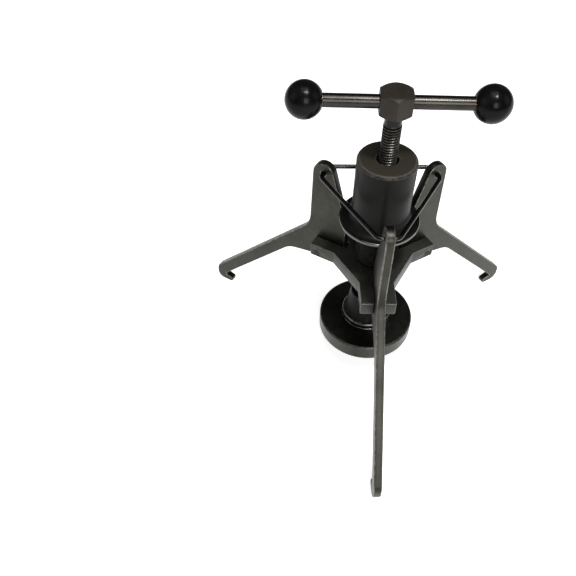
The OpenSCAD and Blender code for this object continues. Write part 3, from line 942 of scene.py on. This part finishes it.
class PRESS_OT_sleeve(Operator):
    """Make the threaded sleeve that stands in the star plate"""

    bl_idname = "press.sleeve"
    bl_label = "Sleeve"

    def execute(self, context):
        sizes = context.scene.press_sizes
        bore, crest = 8.05, reach("sleeve")
        seat = high("spider")
        thread = threaded("sleeve_thread", {
            "Crest Radius": crest * MM,
            "Root Radius": (crest - 1) * MM,
            "End Radius": (crest - 1) * MM,
            "Bore Radius": bore * MM,
            "Pitch": sizes.collar_pitch,
            "Bottom": (seat + 3) * MM,
            "Top": high("sleeve") * MM,
            "Turns": math.ceil((high("sleeve") - seat - 3) / (sizes.collar_pitch / MM)) + 2,
            "Facets": 96,
            "Hollow": True,
        })
        dress(thread, "frame", "collar_steel", "collar_steel", "sleeve")
        outline = rounded([
            (bore, low("sleeve"), 0.3), (15, low("sleeve"), 0.8), (15, seat, 0),
            (crest - 1, seat, 0.2), (crest - 1, seat + 3, 0), (bore, seat + 3, 0),
        ], support=0.1)
        dress(turned("sleeve_tail", outline), "frame", "collar_steel", "collar_steel")
        return {"FINISHED"}


class PRESS_OT_collar(Operator):
    """Make the adjusting collar with its flared flange, and the wear ring round it"""

    bl_idname = "press.collar"
    bl_label = "Collar"

    def execute(self, context):
        barrel, top, bottom = 26.9, high("collar"), low("collar")
        rim = reach("rim_ring")
        rim_top = high("rim_ring")
        flange = rim_top - 0.1
        inner = rim - 2.1
        groove = inner - 1.3
        bell = 8.6
        bell_middle = flange + 0.9 + bell
        bore, hole, roof, skirt = 19.05, 9.8, 214.0, 22.5
        base = flange - 3.6
        outline = rounded([
            (bore, bottom, 0.5), (skirt, bottom, 1), (skirt, base - 4, 2.0),
            (inner - 0.5, base, 0.4), (inner - 0.05, base + 0.6, 0),
        ], support=0.1)[:-1]
        outline += [
            (inner - 0.05, base + 0.6, 0), (inner - 0.05, flange - 2.4, 0), (groove, flange - 2.4, 0),
            (groove, flange - 1.2, 0), (inner - 0.05, flange - 1.2, 0), (inner - 0.05, flange, 0),
        ]
        for i in range(25):
            turn = math.radians(270 - 90 * i / 24)
            x = barrel + bell + bell * math.cos(turn)
            outline.append((x, bell_middle + bell * math.sin(turn), 0))
        crown = rounded([
            (barrel, top - 12, 0), (barrel, top, 2.8), (hole, top, 1.2), (hole, roof, 0.3),
            (bore, roof, 0.5), (bore, bottom + 2, 0),
        ], steps=8, support=0.15)
        outline += crown
        dress(turned("collar_barrel", outline), "collar", "collar_steel", "collar_steel", "collar")

        outline = rounded([
            (inner, rim_top - 3.3, 0.1), (rim, rim_top - 3.3, 0.9), (rim, rim_top, 1.2),
            (inner, rim_top, 0.2), (inner, rim_top - 1.35, 0), (inner - 1.1, rim_top - 1.35, 0),
            (inner - 1.1, rim_top - 2.45, 0), (inner, rim_top - 2.45, 0),
        ], support=0.05)
        dress(turned("collar_wear_ring", outline), "rim", "ring_steel", "polished_steel", "rim_ring")
        return {"FINISHED"}


class PRESS_OT_star_plate(Operator):
    """Make the three-armed star plate with its forks, and its pivot pins"""

    bl_idname = "press.star_plate"
    bl_label = "Star plate and pins"

    def execute(self, context):
        sizes = context.scene.press_sizes
        width = sizes.arm_width / MM
        arm = sizes.arm_reach / MM
        flank, slot_start, side_gap = 32.5, 28.5, 0.3
        root = (flank - width / 2 * math.cos(math.radians(30))) / math.sin(math.radians(30))
        slot = sizes.lever_thickness / MM / 2 + side_gap
        corners = []
        for turn in sorted(LEVER_TURNS.values()):
            along, across = direction(turn), direction(turn + 90)
            for out, side, radius in (
                (root, -width / 2, 3), (arm, -width / 2, 1.5), (arm, -slot, 0.8),
                (slot_start, -slot, 1.5), (slot_start, slot, 1.5), (arm, slot, 0.8),
                (arm, width / 2, 1.5), (root, width / 2, 3),
            ):
                corners.append((*(along * out + across * side), radius))
        outline = [p[:2] for p in rounded(corners, steps=5)]
        bottom, top = low("spider"), high("spider")
        hole = circle_points(0, 0, 15, 96)
        mesh = plate_mesh("star_plate", outline, [hole], top - bottom, sizes.plate_edge / MM)
        mark_plate(mesh)
        mesh.transform(Matrix.Translation((0, 0, (bottom + top) / 2 * MM)))
        plate = new_object("star_plate", mesh)
        cutters = []
        pin = sizes.pin_width / MM / 2
        half = width / 2
        for name, turn in LEVER_TURNS.items():
            matrix = self.pin_matrix(sizes, turn)
            rim = [(0, -half - 3, 0), (pin + 3.4, -half - 3, 0), (pin, -half + 0.4, 0),
                   (pin, half - 0.4, 0), (pin + 3.4, half + 3, 0), (0, half + 3, 0)]
            cutters.append(turned("pin_hole_" + name, rim, matrix, facets=48))
            tip = half - 0.2
            outline = rounded([
                (0, -tip + 0.7, 0), (1.3, -tip + 0.7, 0.2), (1.9, -tip, 0.2), (pin, -tip, 0.5),
                (pin, tip, 0.5), (1.9, tip, 0.2), (1.3, tip - 0.7, 0.2), (0, tip - 0.7, 0),
            ], steps=4, support=0.05)
            piece = turned("pivot_" + name, outline, matrix, facets=48)
            dress(piece, "frame", "head_steel", "bar_steel", "pivot_pin_" + name)
        cut(plate, cutters)
        dress(plate, "frame", "plate_steel", "blackened_steel", "spider")
        return {"FINISHED"}

    def pin_matrix(self, sizes, turn):
        """A pin's own frame, Z along the pin."""
        lie = Matrix.Translation((sizes.pin_reach, 0, sizes.pin_height))
        return Matrix.Rotation(math.radians(turn), 4, "Z") @ lie @ Matrix.Rotation(math.radians(90), 4, "X")


class PRESS_OT_levers(Operator):
    """Make the three hooked levers"""

    bl_idname = "press.levers"
    bl_label = "Levers"

    def execute(self, context):
        sizes = context.scene.press_sizes
        pin = (sizes.pin_reach / MM, sizes.pin_height / MM)
        top = (61.0, 188.0)
        outline = [p[:2] for p in rounded(self.corners(top, pin), steps=12)]
        holes = [
            circle_points(*pin, sizes.pin_width / MM / 2 + 0.05, 48),
            circle_points(*top, 2.45, 32),
        ]
        for name, turn in LEVER_TURNS.items():
            mesh = plate_mesh("lever_" + name, outline, holes, sizes.lever_thickness / MM,
                              sizes.lever_edge / MM)
            mark_plate(mesh)
            mesh.transform(lever_matrix(turn))
            piece = new_object("hook_arm_" + name, mesh)
            dress(piece, "lever_" + name, "lever_steel", "lever_steel", "lever_" + name)
        return {"FINISHED"}

    def corners(self, top, pin):
        """Corners of the lever, walked from its top down the outer side and round the hook."""
        outer, inner, crown = 72.0, 31.5, 11.0
        blade_lean, leg_fall, web_fall, toe_rise = 18, 47.25, 10.8, 18
        leg_width, hook_back, hook_low, toe, toe_height = 14.1, 193.3, -30, 173, 5.5
        top = Vector(top)
        blade = top - crown * direction(-blade_lean)
        apex = crossing((outer, 0), 90, blade, 90 - blade_lean)
        shoulder = Vector((outer, 119.5))
        under = shoulder - leg_width * Vector(
            (math.sin(math.radians(leg_fall)), math.cos(math.radians(leg_fall))))
        hook_top = crossing(shoulder, -leg_fall, (hook_back, 0), 90)
        mouth = crossing(under, -leg_fall, (toe, hook_low + toe_height), toe_rise)
        web = (69.8, 78.8)
        web_end = crossing(under, -leg_fall, web, -web_fall)
        boss = crossing(web, -web_fall, (pin[0] - 6, 0), 90)
        belly = crossing((inner, 0), 90, blade, 90 - blade_lean)
        return [
            (*apex, crown), (*shoulder, 30), (*hook_top, 12), (hook_back, hook_low, 9.5),
            (toe, hook_low, 2), (toe, hook_low + toe_height, 1.4), (*mouth, 2), (*web_end, 24),
            (*boss, 14.5), (inner, 93, 6), (*belly, 12),
        ]


class PRESS_OT_spring_wire(Operator):
    """Make the spring wire that ties the three lever tops together"""

    bl_idname = "press.spring_wire"
    bl_label = "Spring wire"

    def execute(self, context):
        sizes = context.scene.press_sizes
        lowest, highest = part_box("spring_wire")
        radius = (highest.z - lowest.z) / 2
        level = (highest.z + lowest.z) / 2
        corner = -lowest.y - radius
        bend = sizes.wire_bend
        stub = sizes.lever_thickness / 2 + 1 * MM
        slant = math.radians(60)
        side = (corner - bend) / 2 + bend + stub * math.sin(slant)
        for name, turn in LEVER_TURNS.items():
            half = [(Vector((corner, stub * i / 4)), 0.0) for i in range(4)]
            for i in range(15):
                lean = slant * i / 14
                out = corner - bend + bend * math.cos(lean)
                half.append((Vector((out, stub + bend * math.sin(lean))), lean))
            start = half[-1][0]
            finish = side * Vector((math.cos(slant), math.sin(slant)))
            half += [(start.lerp(finish, i / 20), slant) for i in range(1, 21)]
            mirrored = [(Vector((p.x, -p.y)), -lean) for p, lean in reversed(half[1:])]
            spin = Matrix.Rotation(math.radians(turn), 3, "Z")
            route, normals = [], []
            for place, lean in mirrored + half:
                route.append(spin @ Vector((place.x, place.y, 0)) + Vector((0, 0, level)))
                normals.append(spin @ Vector((math.cos(lean), math.sin(lean), 0)))
            piece = new_object("tie_wire_" + name, tube_mesh("tie_wire_" + name, route, normals, radius))
            piece.data.materials.append(finish_named("wire_steel"))
            outward = spin @ Vector((1, 0, 0))
            start = outward * (corner - bend) + Vector((0, 0, level))
            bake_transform(piece)
            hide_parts("spring_wire")
        return {"FINISHED"}


class PRESS_OT_fittings(Operator):
    """Give the bearing, the inserts, the lock nut and the small screws their finishes"""

    bl_idname = "press.fittings"
    bl_label = "Bearing and fittings"

    def execute(self, context):
        looks = {
            "ring_steel": ("lower_race", "upper_race", "bearing_balls"),
            "turned_brass": ("ball_cage", "knob_insert_left", "knob_insert_right"),
            "pad_steel": ("foot_disc", "sleeve_lock_nut"),
            "head_steel": ("nose_grub_screw", "lock_nut_screw"),
        }
        for material, nodes in looks.items():
            for node in nodes:
                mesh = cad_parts[node].data
                mesh.materials.clear()
                mesh.materials.append(finish_named(material))
        return {"FINISHED"}


class PRESS_OT_stage(Operator):
    """Make the pale floor, the soft lights and the camera"""

    bl_idname = "press.stage"
    bl_label = "Stage"

    def execute(self, context):
        self.floor(context)
        # Each light's name, place, target, width and power
        for values in (
            ("key_light", (0.22, -0.34, 1.5), (0, 0, 0.16), 0.2, 14.0),
            ("top_light", (0.0, -0.1, 1.9), (0, 0, 0.1), 1.0, 12.0),
            ("front_light", (0.25, -1.7, 1.05), (0, 0, 0.1), 0.9, 21.0),
            ("left_light", (-1.5, -0.3, 0.9), (0, 0, 0.05), 1.0, 3.0),
            ("right_light", (1.5, -0.2, 1.0), (0, 0, 0.05), 1.0, 2.5),
        ):
            self.softbox(context, *values)
        world = bpy.data.worlds.new("studio")
        world.use_nodes = True
        background = world.node_tree.nodes["Background"]
        background.inputs["Color"].default_value = (1.0, 0.99, 0.97, 1.0)
        background.inputs["Strength"].default_value = 0.10
        context.scene.world = world
        context.scene.view_settings.view_transform = "Standard"
        self.camera(context)
        return {"FINISHED"}

    def floor(self, context):
        """A large pale sheet just under the three hooks."""
        half = 6.0
        level = CAD_BOX[0].z - 0.0002
        bm = bmesh.new()
        corners = [(-half, -half), (half, -half), (half, half), (-half, half)]
        bm.faces.new([bm.verts.new((x, y, level)) for x, y in corners])
        mesh = bpy.data.meshes.new("floor")
        bm.to_mesh(mesh)
        bm.free()
        material, tree, shader, place = fresh_material("pale_floor")
        white = tuple(context.scene.press_finishes.floor_white)
        grain = noise(tree, place, 8.0, 3.0)
        tint = mix_colour(tree, grain, white, tuple(0.985 * c for c in white))
        tree.links.new(tint, shader.inputs["Base Color"])
        shader.inputs["Roughness"].default_value = 0.9
        shader.inputs["Emission Color"].default_value = (1.0, 1.0, 1.0, 1.0)
        shader.inputs["Emission Strength"].default_value = 0.65
        mesh.materials.append(material)
        new_object("floor", mesh)

    def softbox(self, context, name, place, target, size, power):
        """A square area light that points at target."""
        data = bpy.data.lights.new(name, "AREA")
        data.size = size
        data.energy = power
        light = bpy.data.objects.new(name, data)
        context.scene.collection.objects.link(light)
        light.location = place
        aim = Vector(target) - Vector(place)
        light.rotation_euler = aim.to_track_quat("-Z", "Y").to_euler()

    def camera(self, context):
        """The camera in front of the press, a little to its left, looking down at it."""
        data = bpy.data.cameras.new("camera")
        data.lens = 41.71
        data.sensor_width = 36.0
        data.clip_start = 0.01
        camera = bpy.data.objects.new("camera", data)
        context.scene.collection.objects.link(camera)
        place = Matrix.Translation((-0.08535, -0.46346, 0.58573))
        tilt = Matrix.Rotation(math.radians(41.21), 4, "X")
        camera.matrix_world = place @ tilt @ Matrix.Rotation(math.radians(0.374), 4, "Z")
        context.scene.camera = camera


class PRESS_PT_pieces(Panel):
    """Lists the pieces of the press, its sizes and its colours"""

    bl_idname = "PRESS_PT_pieces"
    bl_label = "Screw press"
    bl_space_type = "VIEW_3D"
    bl_region_type = "UI"
    bl_category = "Press"

    def draw(self, context):
        layout = self.layout
        for operator in OPERATORS:
            layout.operator(operator.bl_idname)
        for group in (context.scene.press_sizes, context.scene.press_finishes):
            box = layout.box()
            for key in group.__annotations__:
                box.prop(group, key)


OPERATORS = (
    PRESS_OT_pad,
    PRESS_OT_nose,
    PRESS_OT_screw,
    PRESS_OT_t_bar,
    PRESS_OT_sleeve,
    PRESS_OT_collar,
    PRESS_OT_star_plate,
    PRESS_OT_levers,
    PRESS_OT_spring_wire,
    PRESS_OT_fittings,
    PRESS_OT_stage,
)
CLASSES = (PressSizes, PressFinishes, *OPERATORS, PRESS_PT_pieces)


def register():
    for cls in CLASSES:
        bpy.utils.register_class(cls)
    bpy.types.Scene.press_sizes = PointerProperty(type=PressSizes)
    bpy.types.Scene.press_finishes = PointerProperty(type=PressFinishes)


def unregister():
    del bpy.types.Scene.press_finishes
    del bpy.types.Scene.press_sizes
    for cls in reversed(CLASSES):
        bpy.utils.unregister_class(cls)


def main():
    register()
    for operator in OPERATORS:
        group, name = operator.bl_idname.split(".")
        getattr(getattr(bpy.ops, group), name)()


if __name__ == "__main__":
    main()
